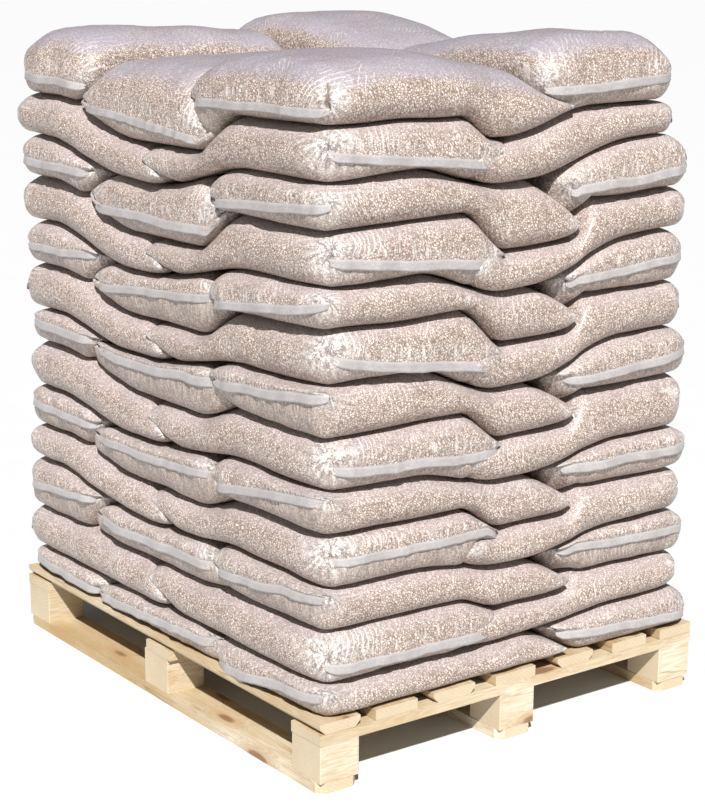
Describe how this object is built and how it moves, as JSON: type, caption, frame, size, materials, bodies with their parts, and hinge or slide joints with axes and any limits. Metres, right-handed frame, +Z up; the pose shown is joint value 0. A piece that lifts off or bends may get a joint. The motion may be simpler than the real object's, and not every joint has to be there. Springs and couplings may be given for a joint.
{
  "type": "pallet of sacks",
  "caption": "Wooden block pallet stacked with layers of clear film sacks of wood pellets, the layers turned half a turn from each other.",
  "frame": {"origin": "middle of the underside of the pallet, on the floor", "axes": "+Z up; +X along the pallet's 1200 mm side, the way its deck boards run; +Y along its 1000 mm side, with three sacks lying across the stack at -Y in the bottom layer"},
  "size_m": [1.208, 1.008, 1.4406],
  "materials": {
    "pallet_wood": "rough-sawn new pine, unpainted, with knots",
    "sack_film": "clear glossy film, creased, over pinkish tan wood pellets"
  },
  "bodies": {
    "root": {"bottom_board_1": "pallet_wood", "bottom_board_2": "pallet_wood", "bottom_board_3": "pallet_wood", "block_1_1": "pallet_wood", "block_1_2": "pallet_wood", "block_1_3": "pallet_wood", "block_2_1": "pallet_wood", "block_2_2": "pallet_wood", "block_2_3": "pallet_wood", "block_3_1": "pallet_wood", "block_3_2": "pallet_wood", "block_3_3": "pallet_wood", "stringer_board_1": "pallet_wood", "stringer_board_2": "pallet_wood", "stringer_board_3": "pallet_wood", "deck_board_1": "pallet_wood", "deck_board_2": "pallet_wood", "deck_board_3": "pallet_wood", "deck_board_4": "pallet_wood", "deck_board_5": "pallet_wood", "deck_board_6": "pallet_wood", "deck_board_7": "pallet_wood", "sack_layer_01": "sack_film", "sack_layer_02": "sack_film", "sack_layer_03": "sack_film", "sack_layer_04": "sack_film", "sack_layer_05": "sack_film", "sack_layer_06": "sack_film", "sack_layer_07": "sack_film", "sack_layer_08": "sack_film", "sack_layer_09": "sack_film", "sack_layer_10": "sack_film", "sack_layer_11": "sack_film", "sack_layer_12": "sack_film", "sack_layer_13": "sack_film"}
  },
  "joints": []
}
